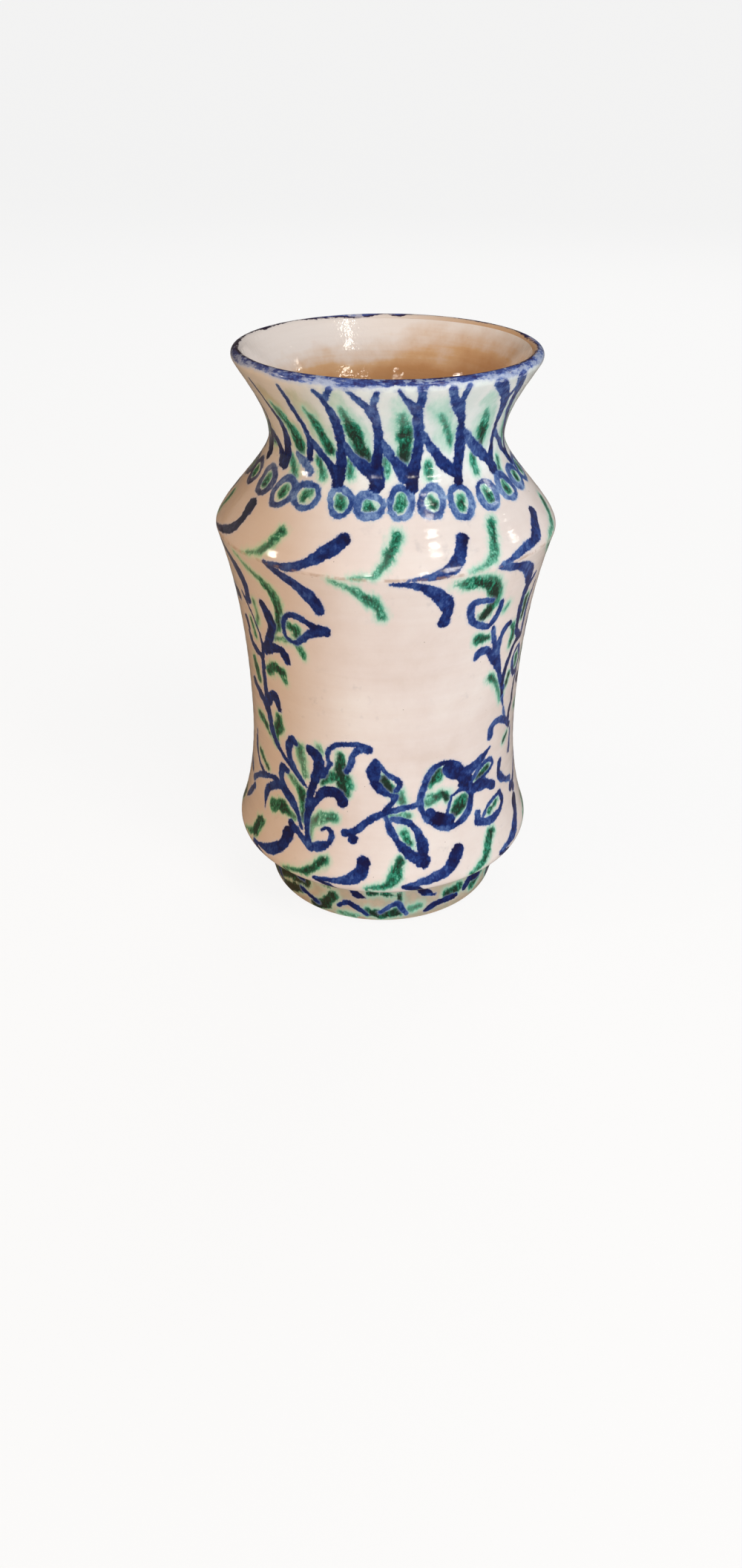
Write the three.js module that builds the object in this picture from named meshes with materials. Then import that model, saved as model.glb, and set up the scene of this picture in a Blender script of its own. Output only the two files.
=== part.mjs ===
// A tin-glazed pharmacy jar, thrown in two sections and luted at the shoulder ridge.
// Millimetres, +Z up, origin on the ground in the middle of the foot.
import * as THREE from 'three';

// Foot
const footStandingRadius = 59.6; // outer edge of the face that the jar stands on
const footRadius = 61.0;
const footBandHeight = 12.6; // ground to the foot's upper edge
const footEdgeRound = 1.2; // height of the softened upper edge
const footRingWidth = 9.5; // width of the bare ring that touches the ground, with its glaze
const recessDepth = 6.5; // ground to the underside of the floor
const recessDraft = 0.6; // how far the recess opens towards the ground
const wipedHeight = 1.6; // glaze is wiped off the clay below this
const grooveRadius = 59.2;
const grooveHeight = 20.0;

// Wall, from the undercut above the foot to the shoulder ridge
const keelRadius = 76.0; // widest point above the foot
const keelHeight = 34.5;
const keelRound = 4.0; // height of the rounding above and below the keel
const waistRadius = 66.6;
const waistHeight = 95.0;
const ridgeRadius = 78.7;
const ridgeHeight = 194.5;

// Neck and lip
const neckRadius = 52.6;
const neckHeight = 233.8;
const lipRadius = 67.4; // widest point of the lip
const lipThickness = 6.4;
const height = 271.0; // ground to the crest of the lip
const lipLean = THREE.MathUtils.degToRad(32); // slope of the neck under the lip, from upright

// Clay and glaze, with the glaze counted in the thicknesses
const wallThickness = 6.2;
const heelThickness = 5.6; // wall at the heel, where the inside starts to round to the floor
const heelHeight = 45.5;
const shoulderThickness = 7.4; // wall at the ridge, where the two sections are luted
const floorThickness = 8.0;
const floorRadius = 42.0; // flat part of the floor
const ledgeWidth = 3.0; // the lower body sits on a ledge this wide inside the foot ring
const glazeThickness = 0.6;
const fitGap = 0.3; // clearance between pieces that touch

const turns = 48; // facets round the axis

const point = (radius, z) => new THREE.Vector2(radius, z);

// A point part of the way between two others, with one share sideways and one upwards.
const between = (a, b, out, up) => point(a.x + out * (b.x - a.x), a.y + up * (b.y - a.y));

const bend = (start, leave, arrive, end, steps) =>
  new THREE.CubicBezierCurve(start, leave, arrive, end).getPoints(steps);

// Runs joined end to end, without the points that two runs share.
function join(...runs) {
  const line = [];
  for (const run of runs) {
    for (const p of run) {
      if (line.length === 0 || line.at(-1).distanceTo(p) > 1e-6) line.push(p);
    }
  }
  return line;
}

// The line moved sideways by a distance, to the left of its direction, with mitred corners.
function offset(line, distance) {
  const step = (i) => line[i + 1].clone().sub(line[i]).normalize();
  const last = line.length - 2;
  return line.map((p, i) => {
    const leaving = step(Math.min(i, last));
    const along = step(Math.max(i - 1, 0)).add(leaving).normalize();
    const reach = distance / along.dot(leaving);
    return point(p.x - along.y * reach, p.y + along.x * reach);
  });
}

// The part of a line between two of its points, cut short at its upper end.
function stretch(line, from, to, cut) {
  const part = line.slice(from, to + 1).map((p) => p.clone());
  const back = part.at(-2).clone().sub(part.at(-1));
  part.at(-1).add(back.setLength(cut));
  return part;
}

// Outside of the jar, from the standing face up to the inner edge of the lip
const lipRound = lipThickness / 2;
const lipCentre = point(lipRadius - lipRound, height - lipRound);
const lipUnder = point(
  lipCentre.x + lipRound * Math.cos(lipLean),
  lipCentre.y - lipRound * Math.sin(lipLean),
);
const lipInside = point(
  lipCentre.x - lipRound * Math.cos(lipLean),
  lipCentre.y + lipRound * Math.sin(lipLean),
);
const alongLip = (p, reach) =>
  point(p.x + reach * Math.sin(lipLean), p.y + reach * Math.cos(lipLean));

const footStanding = point(footStandingRadius, 0);
const footBelly = point(footRadius, footBandHeight * 0.45);
const groove = point(grooveRadius, grooveHeight);
const footOutside = [
  footStanding,
  between(footStanding, footBelly, wipedHeight / footBelly.y, wipedHeight / footBelly.y),
  footBelly,
  point(footRadius, footBandHeight - footEdgeRound),
  point(footRadius - footEdgeRound / 2, footBandHeight),
  groove,
];

const keelOutside = bend(
  point(keelRadius - 0.4 * keelRound, keelHeight - keelRound),
  point(keelRadius + 0.05 * keelRound, keelHeight - 0.55 * keelRound),
  point(keelRadius + 0.12 * keelRound, keelHeight + 0.25 * keelRound),
  point(keelRadius - 0.22 * keelRound, keelHeight + keelRound),
  3,
);

const keelTop = keelOutside.at(-1);
const waist = point(waistRadius, waistHeight);
const ridge = point(ridgeRadius, ridgeHeight);
const neck = point(neckRadius, neckHeight);
const flareHandle = 0.4 * (lipUnder.y - neckHeight);

const waistOutside = join(
  bend(keelTop, between(keelTop, waist, 0.48, 0.2), between(keelTop, waist, 1, 0.56), waist, 4),
  bend(waist, between(waist, ridge, 0, 0.35), between(waist, ridge, 0.27, 0.71), ridge, 5),
);

const neckOutside = join(
  bend(ridge, between(ridge, neck, 0.07, 0.23), between(ridge, neck, 1, 0.73), neck, 5),
  bend(neck, between(neck, lipUnder, 0, 0.34), alongLip(lipUnder, -flareHandle), lipUnder, 4),
);

const lipOver = new THREE.ArcCurve(
  lipCentre.x,
  lipCentre.y,
  lipRound,
  -lipLean,
  Math.PI - lipLean,
  false,
).getPoints(6);

const outside = join(footOutside, keelOutside, waistOutside, neckOutside, lipOver);
const at = (line, p) => line.findIndex((q) => q.distanceTo(p) < 1e-6);
const wipedAt = 1;
const grooveAt = at(outside, groove);
const ridgeAt = at(outside, ridge);
const lipUnderAt = at(outside, lipUnder);
const lipInsideAt = outside.length - 1;

// The wall's thickness, measured level, goes evenly from each of these heights to the next.
const thicknesses = [
  point(heelThickness, heelHeight),
  point(wallThickness, waistHeight),
  point(shoulderThickness, ridgeHeight),
  point(wallThickness, neckHeight),
];

// How far a line running upwards is from the axis at a height
function across(line, z) {
  const i = Math.max(line.findIndex((p) => p.y >= z), 1);
  return THREE.MathUtils.mapLinear(z, line[i - 1].y, line[i].y, line[i - 1].x, line[i].x);
}

const radiusAt = (z) => across(waistOutside, z);
const wallInside = join(waistOutside, neckOutside)
  .filter((p) => p.y > heelHeight && p.y <= neckHeight)
  .map((p) => point(p.x - across(thicknesses, p.y), p.y));

// Inside of the jar, from the middle of the floor up to the inner edge of the lip
const floorMiddle = point(0, recessDepth + floorThickness);
const floorEdge = point(floorRadius, floorMiddle.y);
const heel = point(radiusAt(heelHeight) - heelThickness, heelHeight);
const ridgeInside = point(ridgeRadius - shoulderThickness, ridgeHeight);
const neckInside = point(neckRadius - wallThickness, neckHeight);

const inside = join(
  [floorMiddle],
  bend(floorEdge, between(floorEdge, heel, 0.3, 0.03), between(floorEdge, heel, 0.86, 0.53), heel, 4),
  wallInside,
  bend(
    neckInside,
    between(neckInside, lipInside, 0, 0.36),
    alongLip(lipInside, -flareHandle),
    lipInside,
    3,
  ),
);
const ridgeInsideAt = at(inside, ridgeInside);
const insideEndAt = inside.length - 1;

// The glaze's back and the clay under it are the same lines moved into the wall.
const coat = glazeThickness + fitGap;
const glazeBack = offset(outside, glazeThickness);
const innerGlazeBack = offset(inside, -glazeThickness);
const clayOutside = offset(outside, coat);
const clayInside = offset(inside, -coat);
const seam = fitGap / 2;

// A piece turned round the axis from the outline of its section. A ring's outline is closed
// here, and a piece with a middle has an outline that starts and ends on the axis.
function turned(name, section, material) {
  const outline = join(section);
  if (THREE.ShapeUtils.area(outline) < 0) outline.reverse();
  if (outline.every((p) => p.x > 0)) outline.push(outline[0].clone());
  const geometry = new THREE.LatheGeometry(outline, turns);
  geometry.rotateX(Math.PI / 2);
  const mesh = new THREE.Mesh(geometry, material);
  mesh.name = name;
  return mesh;
}

const glazeBand = (name, from, to, material) =>
  turned(
    name,
    [...stretch(outside, from, to, fitGap), ...stretch(glazeBack, from, to, fitGap).reverse()],
    material,
  );

const biscuit = new THREE.MeshStandardMaterial({ color: 0xc9a283, roughness: 0.85, metalness: 0 });
const tinGlaze = new THREE.MeshStandardMaterial({ color: 0xe9d8c8, roughness: 0.15, metalness: 0 });
const innerTinGlaze = new THREE.MeshStandardMaterial({ color: 0xd3b190, roughness: 0.2, metalness: 0 });
const footGlazeGreen = new THREE.MeshStandardMaterial({ color: 0x7f9a88, roughness: 0.15, metalness: 0 });
const cobalt = new THREE.MeshStandardMaterial({ color: 0x34489a, roughness: 0.15, metalness: 0 });

// The lower body sits on a ledge and a slope inside the foot ring.
const ringInnerRadius = footStandingRadius - coat - footRingWidth;
const ledgeRadius = ringInnerRadius + ledgeWidth;
const ledgeHeight = recessDepth + floorThickness / 2;

function footRing() {
  const outer = stretch(clayOutside, 0, grooveAt, fitGap);
  outer[0].y = 0;
  return turned(
    'foot_ring',
    [
      ...outer,
      point(ledgeRadius, ledgeHeight - seam),
      point(ringInnerRadius, ledgeHeight - seam),
      point(ringInnerRadius + recessDraft, 0),
    ],
    biscuit,
  );
}

function lowerBody() {
  const outer = stretch(clayOutside, grooveAt, ridgeAt, 0);
  const inner = stretch(clayInside, 0, ridgeInsideAt, 0);
  outer.at(-1).y = ridgeHeight - seam;
  inner.at(-1).y = ridgeHeight - seam;
  return turned(
    'lower_body',
    [
      point(0, recessDepth),
      point(ringInnerRadius - fitGap, recessDepth),
      point(ringInnerRadius - fitGap, ledgeHeight + seam),
      point(ledgeRadius - fitGap, ledgeHeight + seam),
      ...outer,
      ...inner.reverse(),
    ],
    biscuit,
  );
}

function shoulderAndNeck() {
  const outer = stretch(clayOutside, ridgeAt, lipInsideAt, 0);
  const inner = stretch(clayInside, ridgeInsideAt, insideEndAt - 1, 0);
  outer[0].y = ridgeHeight + seam;
  inner[0].y = ridgeHeight + seam;
  return turned('shoulder_and_neck', [...outer, ...inner.reverse()], biscuit);
}

function jar() {
  const group = new THREE.Group();
  group.add(
    footRing(),
    lowerBody(),
    shoulderAndNeck(),
    glazeBand('foot_glaze', wipedAt, grooveAt, footGlazeGreen),
    glazeBand('body_glaze', grooveAt, ridgeAt, tinGlaze),
    glazeBand('neck_glaze', ridgeAt, lipUnderAt, tinGlaze),
    glazeBand('lip_glaze', lipUnderAt, lipInsideAt, cobalt),
    turned('inner_glaze', [...inside, ...innerGlazeBack.reverse()], innerTinGlaze),
  );
  return group;
}

export default jar();
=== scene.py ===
"""A tin-glazed pharmacy jar painted in cobalt and copper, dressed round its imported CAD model.

Lengths are millimetres up to the meshes, and metres in the shaders, floor, lamps and camera. A place
on the outside is (turn, height): degrees round from the front, to the right, and the height above
the ground. A stroke is a path of such places, with widths and loads of pigment spread along it.
"""

import math

import bpy
import numpy as np
from mathutils import Matrix, Vector


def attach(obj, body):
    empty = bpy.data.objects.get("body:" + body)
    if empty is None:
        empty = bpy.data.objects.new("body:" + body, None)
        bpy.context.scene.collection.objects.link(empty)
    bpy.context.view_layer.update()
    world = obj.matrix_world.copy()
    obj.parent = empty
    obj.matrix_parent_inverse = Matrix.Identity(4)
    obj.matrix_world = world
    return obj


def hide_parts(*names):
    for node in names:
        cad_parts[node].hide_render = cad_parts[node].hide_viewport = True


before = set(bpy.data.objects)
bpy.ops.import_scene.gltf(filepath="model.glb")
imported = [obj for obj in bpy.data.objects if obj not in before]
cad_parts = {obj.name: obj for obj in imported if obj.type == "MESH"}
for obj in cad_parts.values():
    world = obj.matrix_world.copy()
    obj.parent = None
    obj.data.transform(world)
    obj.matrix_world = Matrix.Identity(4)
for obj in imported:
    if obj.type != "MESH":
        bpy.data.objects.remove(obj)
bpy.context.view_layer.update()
MM = 0.001

# Driving dimensions, the same as in the CAD source
FOOT_STANDING_RADIUS = 59.6
FOOT_RADIUS = 61.0
FOOT_BAND_HEIGHT = 12.6
FOOT_EDGE_ROUND = 1.2
FOOT_RING_WIDTH = 9.5
RECESS_DEPTH = 6.5
RECESS_DRAFT = 0.6
WIPED_HEIGHT = 1.6
GROOVE = np.array([59.2, 20.0])
KEEL_RADIUS = 76.0
KEEL_HEIGHT = 34.5
KEEL_ROUND = 4.0
WAIST = np.array([66.6, 95.0])
RIDGE = np.array([78.7, 194.5])
NECK = np.array([52.6, 233.8])
LIP_RADIUS = 67.4
LIP_THICKNESS = 6.4
HEIGHT = 271.0
LIP_LEAN = math.radians(32)
WALL_THICKNESS = 6.2
HEEL_THICKNESS = 5.6
HEEL_HEIGHT = 45.5
SHOULDER_THICKNESS = 7.4
FLOOR_THICKNESS = 8.0
FLOOR_RADIUS = 42.0
GLAZE_BEHIND = 0.9  # glaze and fit gap together, from the surface to the clay

# Fineness of the meshes, and where a coat lies on its UV map
COLUMNS = 640
ROW_PITCH = 0.75
LIP_PITCH = 0.45
RING_PITCH = 0.6
MOUTH_PITCH = 1.0
INSIDE_PITCH = 2.5
BACK_PITCH = 3.0
SKIN = 0.28  # thickness of the visible coat
STRIPS = 2  # the map takes a coat in this many strips side by side
STRIP_EDGE = 0.005
FRONT_SPAN = (0.01, 0.89)  # along a strip
BACK_SPAN = (0.91, 0.99)

dice = np.random.default_rng(5)


# Outline of the section

def point(radius, height):
    return np.array([radius, height])


def between(a, b, out, up):
    return a + np.array([out, up]) * (b - a)


def bend(start, leave, arrive, end):
    t = np.linspace(0, 1, 65)[:, None]
    s = 1 - t
    return s**3 * start + 3 * s**2 * t * leave + 3 * s * t**2 * arrive + t**3 * end


class Outline:
    """A line of (radius, height) that is read by the distance along it, with softened corners."""

    STEP = 0.2

    def __init__(self, runs, softness):
        corners = np.vstack(runs)
        moved = np.append(True, np.hypot(*np.diff(corners, axis=0).T) > 1e-6)
        corners = corners[moved]
        gone = np.append(0, np.cumsum(np.hypot(*np.diff(corners, axis=0).T)))
        self.along = np.linspace(0, gone[-1], int(gone[-1] / self.STEP))
        even = np.stack([np.interp(self.along, gone, corners[:, k]) for k in (0, 1)], 1)
        reach = int(4 * softness / self.STEP)
        before = 2 * even[0] - even[reach:0:-1]
        after = 2 * even[-1] - even[-2 : -2 - reach : -1]
        weights = np.exp(-0.5 * (np.arange(-reach, reach + 1) * self.STEP / softness) ** 2)
        weights /= weights.sum()
        padded = np.vstack([before, even, after])
        self.points = np.stack([np.convolve(padded[:, k], weights, "valid") for k in (0, 1)], 1)
        self.length = gone[-1]

    def at(self, along):
        return np.stack([np.interp(along, self.along, self.points[:, k]) for k in (0, 1)], -1)

    def facing(self, along):
        """The unit vector to the right of the line's direction: away from the wall."""
        ahead = self.at(along + self.STEP) - self.at(along - self.STEP)
        ahead /= np.hypot(ahead[..., 0], ahead[..., 1])[..., None]
        return np.stack([ahead[..., 1], -ahead[..., 0]], -1)

    def nearest(self, place):
        return self.along[np.argmin(np.hypot(*(self.points - place).T))]


lip_round = LIP_THICKNESS / 2
lip_centre = point(LIP_RADIUS - lip_round, HEIGHT - lip_round)
lip_side = lip_round * point(math.cos(LIP_LEAN), -math.sin(LIP_LEAN))
lip_under = lip_centre + lip_side
lip_inside = lip_centre - lip_side
flare = 0.4 * (lip_under[1] - NECK[1]) * point(math.sin(LIP_LEAN), math.cos(LIP_LEAN))

foot_standing = point(FOOT_STANDING_RADIUS, 0)
foot_belly = point(FOOT_RADIUS, 0.45 * FOOT_BAND_HEIGHT)
wiped = foot_standing + WIPED_HEIGHT / foot_belly[1] * (foot_belly - foot_standing)
foot = np.array([
    wiped,
    foot_belly,
    point(FOOT_RADIUS, FOOT_BAND_HEIGHT - FOOT_EDGE_ROUND),
    point(FOOT_RADIUS - FOOT_EDGE_ROUND / 2, FOOT_BAND_HEIGHT),
    GROOVE,
])
keel = bend(
    point(KEEL_RADIUS - 0.4 * KEEL_ROUND, KEEL_HEIGHT - KEEL_ROUND),
    point(KEEL_RADIUS + 0.05 * KEEL_ROUND, KEEL_HEIGHT - 0.55 * KEEL_ROUND),
    point(KEEL_RADIUS + 0.12 * KEEL_ROUND, KEEL_HEIGHT + 0.25 * KEEL_ROUND),
    point(KEEL_RADIUS - 0.22 * KEEL_ROUND, KEEL_HEIGHT + KEEL_ROUND),
)
keel_top = keel[-1]
lower_wall = bend(keel_top, between(keel_top, WAIST, 0.48, 0.2), between(keel_top, WAIST, 1, 0.56), WAIST)
upper_wall = bend(WAIST, between(WAIST, RIDGE, 0, 0.35), between(WAIST, RIDGE, 0.27, 0.71), RIDGE)
shoulder = bend(RIDGE, between(RIDGE, NECK, 0.07, 0.23), between(RIDGE, NECK, 1, 0.73), NECK)
throat = bend(NECK, between(NECK, lip_under, 0, 0.34), lip_under - flare, lip_under)
lip_angles = np.linspace(-LIP_LEAN, math.pi - LIP_LEAN, 40)
lip = lip_centre + lip_round * np.stack([np.cos(lip_angles), np.sin(lip_angles)], 1)
outside = Outline([foot, keel, lower_wall, upper_wall, shoulder, throat, lip], 0.7)


wall = np.vstack([lower_wall, upper_wall[1:], shoulder[1:]])
thickness = np.interp(
    wall[:, 1],
    [HEEL_HEIGHT, WAIST[1], RIDGE[1], NECK[1]],
    [HEEL_THICKNESS, WALL_THICKNESS, SHOULDER_THICKNESS, WALL_THICKNESS],
)
wall_inside = wall - np.stack([thickness, 0 * thickness], 1)
heel = point(np.interp(HEEL_HEIGHT, wall_inside[:, 1], wall_inside[:, 0]), HEEL_HEIGHT)
floor_middle = point(0, RECESS_DEPTH + FLOOR_THICKNESS)
floor_edge = point(FLOOR_RADIUS, floor_middle[1])
neck_inside = NECK - point(WALL_THICKNESS, 0)
inside = Outline(
    [
        bend(lip_inside, lip_inside - flare, between(neck_inside, lip_inside, 0, 0.36), neck_inside),
        wall_inside[wall_inside[:, 1] > HEEL_HEIGHT][::-1],
        bend(heel, between(floor_edge, heel, 0.86, 0.53), between(floor_edge, heel, 0.3, 0.03), floor_edge),
        [floor_middle],
    ],
    1.6,
)


# The thrown surface

turns = -180 + 360 * np.arange(COLUMNS) / COLUMNS


def unevenness(along):
    """How far the surface lies inside its outline, from the throwing and the coat's own flow."""
    mean, ring_spacing, fine_spacing = 0.27, 7.3, 2.9
    along = along[:, None]
    rings = np.sin(2 * math.pi * (along / ring_spacing + turns / 360) + 1.4 * np.sin(along / 19))
    fine = np.sin(2 * math.pi * (along / fine_spacing - turns / 360) + 2 * np.sin(along / 31))
    sway = np.sin(np.radians(2 * turns) + along / 60) + np.sin(np.radians(3 * turns) + along / 37)
    return mean + 0.026 * rings + 0.012 * fine + 0.07 * sway


def around(outline, along, depth):
    """Grid of points (row, column, xyz) on an outline turned round the axis, moved in by a depth."""
    section = outline.at(along)[:, None] - outline.facing(along)[:, None] * depth[..., None]
    radius = np.maximum(section[..., 0], 0)
    angle = np.radians(turns)
    return np.stack([radius * np.sin(angle), -radius * np.cos(angle), section[..., 1]], -1)


def rows_between(start, end, pitch=ROW_PITCH):
    return np.linspace(start, end, max(2, round((end - start) / pitch) + 1))


def mesh_object(name, points, faces, uvs, slot, node, material):
    mesh = bpy.data.meshes.new(name)
    mesh.vertices.add(len(points))
    mesh.vertices.foreach_set("co", (points * MM).astype(np.float32).ravel())
    mesh.loops.add(faces.size)
    mesh.loops.foreach_set("vertex_index", faces.astype(np.int32).ravel())
    mesh.polygons.add(len(faces))
    mesh.polygons.foreach_set("loop_start", np.arange(0, faces.size, faces.shape[1], dtype=np.int32))
    mesh.update(calc_edges=True)
    mesh.uv_layers.new(name="OFBake").data.foreach_set("uv", uvs.astype(np.float32).ravel())
    mesh.shade_smooth()
    mesh.materials.append(material)
    piece = bpy.data.objects.new(name, mesh)
    bpy.context.scene.collection.objects.link(piece)
    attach(piece, "root")
    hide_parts(node)
    return piece


def turned(name, front, back, slot, node, material, pole=False):
    """A closed coat: front rows that show, then back rows that lead behind them to the start.

    With a pole, the front ends on the axis and the back starts there.
    """
    grid = np.concatenate([front, back])
    rows, columns = grid.shape[:2]
    shown = len(front)
    lengths = np.linalg.norm(np.diff(grid[:, 0], axis=0, append=grid[:1, 0]), axis=1)
    gone = np.append(0, np.cumsum(lengths))
    front_end = gone[shown - 1]
    share = np.interp(gone, [0, front_end], FRONT_SPAN)
    share[shown:] = np.interp(gone[shown:], [front_end, gone[-1]], BACK_SPAN)
    i, j = (a.ravel() for a in np.meshgrid(np.arange(rows), np.arange(columns), indexing="ij"))
    if pole:
        keep = i != shown - 1
        i, j = i[keep], j[keep]
    corner_rows = np.stack([i, i, i + 1, i + 1], 1)
    corner_columns = np.stack([j, j + 1, j + 1, j], 1)
    faces = (corner_rows % rows) * columns + corner_columns % columns
    strip = (j * STRIPS // columns)[:, None]
    across = corner_columns * STRIPS / columns - strip
    across = STRIP_EDGE + (1 - 2 * STRIP_EDGE) * across
    uvs = np.stack([across, (strip + share[corner_rows]) / STRIPS], -1)
    piece = mesh_object(name, grid.reshape(-1, 3), faces, uvs, slot, node, material)

    # The front's first and last rows are sharp edges.
    edges = np.zeros(len(piece.data.edges) * 2, np.int32)
    piece.data.edges.foreach_get("vertices", edges)
    ring = edges.reshape(-1, 2) // columns
    sharp = (ring[:, 0] == ring[:, 1]) & np.isin(ring[:, 0], [0, shown - 1])
    piece.data.attributes.new("sharp_edge", "BOOLEAN", "EDGE").data.foreach_set("value", sharp)
    return piece


def coat(name, outline, rows, slot, node, material, pole=False):
    """A coat that shows these rows of an outline, with its back one skin behind them."""
    behind = rows_between(rows[0], rows[-1], BACK_PITCH)[::-1]
    front = around(outline, rows, unevenness(rows))
    back = around(outline, behind, unevenness(behind) + SKIN)
    return turned(name, front, back, slot, node, material, pole)


# Rows of the painted outside, band by band
groove_at = outside.nearest(GROOVE)
split_at = outside.nearest(between(WAIST, RIDGE, 0, 0.06))
ridge_at = outside.nearest(RIDGE)
neck_at = outside.nearest(NECK)
lip_at = outside.nearest(lip_under)
band_ends = [0, groove_at, split_at, ridge_at, neck_at, lip_at, outside.length]
band_rows = [rows_between(a, b) for a, b in zip(band_ends, band_ends[1:])]
band_rows[-1] = rows_between(lip_at, outside.length, LIP_PITCH)
along_rows = np.concatenate(band_rows)
row_radius = outside.at(along_rows)[:, 0]
crest = np.argmax(outside.points[:, 1])
along_of_height = (outside.points[:crest, 1], outside.along[:crest])


# Painting: pigments are laid in strokes over the whole outside

FAR = 12.0  # distance that stands for no pigment near
REACH = 7.0  # a stroke is felt this far from its edge


def smooth(path, steps=6):
    """Points on a smooth line through the given ones."""
    path = np.array(path, float)
    if len(path) < 3:
        return path
    padded = np.vstack([2 * path[0] - path[1], path, 2 * path[-1] - path[-2]])
    t = (np.arange(steps) / steps)[:, None]
    runs = []
    for a, b, c, d in zip(padded, padded[1:], padded[2:], padded[3:]):
        curve = b + 0.5 * t * (c - a) + t**2 * (a - 2.5 * b + 2 * c - 0.5 * d)
        runs.append(curve + t**3 * (1.5 * b - 1.5 * c + 0.5 * (d - a)))
    return np.vstack([*runs, path[-1:]])


class Pigment:
    """How far each point of the outside is from the pigment's edge, and how thick it lies there."""

    def __init__(self):
        self.edge = np.full((len(along_rows), COLUMNS), FAR)
        self.load = np.zeros_like(self.edge)

    def lay(self, path, widths, loads):
        line = smooth(path)
        turn = line[:, 0]
        along = np.interp(line[:, 1], *along_of_height)
        share = np.linspace(0, 1, len(line))
        half = np.interp(share, np.linspace(0, 1, len(widths)), widths) / 2
        half *= 1 + 0.13 * np.sin(share * dice.uniform(6, 14) + dice.uniform(0, 6))
        load = np.interp(share, np.linspace(0, 1, len(loads)), loads)
        reach = REACH + half.max()
        near = np.flatnonzero((along_rows > along.min() - reach) & (along_rows < along.max() + reach))
        radius = row_radius[near][:, None]
        side = math.degrees(reach / radius.min())
        first = math.floor((turn.min() - side + 180) * COLUMNS / 360)
        last = math.ceil((turn.max() + side + 180) * COLUMNS / 360)
        columns = np.arange(first, last + 1)
        x = np.radians(columns * 360 / COLUMNS - 180)[None] * radius
        y = along_rows[near][:, None]
        window = np.ix_(near, columns % COLUMNS)
        edge = self.edge[window]
        thick = self.load[window]
        for k in range(len(line) - 1):
            ax = math.radians(turn[k]) * radius
            dx = math.radians(turn[k + 1] - turn[k]) * radius
            dy = along[k + 1] - along[k]
            t = ((x - ax) * dx + (y - along[k]) * dy) / (dx * dx + dy * dy + 1e-9)
            t = np.clip(t, 0, 1)
            gap = np.hypot(x - ax - t * dx, y - along[k] - t * dy)
            gap -= half[k] + t * (half[k + 1] - half[k])
            nearer = gap < edge
            edge = np.where(nearer, gap, edge)
            thick = np.where(nearer, load[k] + t * (load[k + 1] - load[k]), thick)
        self.edge[window] = edge
        self.load[window] = thick


cobalt = Pigment()
copper = Pigment()
wash = Pigment()


class Brush:
    """Lays strokes, turned round the jar from where the front has them."""

    SPREAD = 1.3  # width of the wet pigment, as a share of the stroke's
    HALO = 1.5  # how much wider than its green the tint under it is

    def __init__(self, turn=0.0, shake=0.0):
        self.turn = turn
        self.shake = shake

    def moved(self, path):
        path = np.array(path, float) + [self.turn, 0]
        return path + dice.normal(0, 1, path.shape) * self.shake

    def blue(self, path, *widths, head=0.0, load=(0.45, 0.7)):
        path = self.moved(path)
        cobalt.lay(path, np.array(widths) * self.SPREAD, load)
        if head:
            cobalt.lay(path[-1:] + np.array([[0, 0], [0.01, 0]]), (2.1 * head,), (load[-1] + 0.2,))

    def green(self, path, *widths, load=(0.5, 0.7)):
        path = self.moved(path)
        widths = np.array(widths) * self.SPREAD
        copper.lay(path, widths, load)
        wash.lay(path, widths + self.HALO, (1,))

    def tint(self, path, *widths):
        """Copper thinned to a pale tint of the coat."""
        wash.lay(self.moved(path), np.array(widths), (1,))

    def dot(self, turn, height, radius, load=0.8):
        self.blue([(turn, height), (turn + 0.01, height)], 2 * radius, load=(load,))


def bead_row():
    """Beads round the shoulder: those of the front in their places, the others between them."""
    row = 219.7
    seen = (-75.6, -60.2, -46.3, -34.1, -18.3, -6.4, 6.1, 18.9, 31.4, 45.8, 58.9, 71.7, 84.0)
    hidden = np.linspace(seen[-1], seen[0] + 360, 17)[1:-1]
    angles = np.radians(np.arange(0, 361, 36))
    for turn in (*seen, *hidden):
        height = row + dice.uniform(-1, 1)
        start = dice.uniform(0, 6.3)
        wide, tall = dice.uniform(4.7, 5.5), dice.uniform(4.1, 5.0)
        lobes = 1 + 0.1 * np.sin(2 * angles + dice.uniform(0, 6))
        lobes += 0.05 * np.sin(3 * angles + dice.uniform(0, 6))
        path = [
            (turn + wide * lobe * math.cos(a + start), height + tall * lobe * math.sin(a + start))
            for a, lobe in zip(angles, lobes)
        ]
        brush = Brush(shake=0.12)
        widths = dice.uniform(2.3, 3.2, 4)
        brush.blue(path, *widths, widths[0], load=(0.2, 0.05, 0.4, 0.15))
        brush.tint([(turn - 0.5, height), (turn + 0.5, height)], 9)
        tip = dice.uniform(-1, 1)
        brush.green([(turn - tip, height + 1.2), (turn + tip, height - 1.2)], 3.6, 4, load=(0.3, 0.6))


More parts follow.
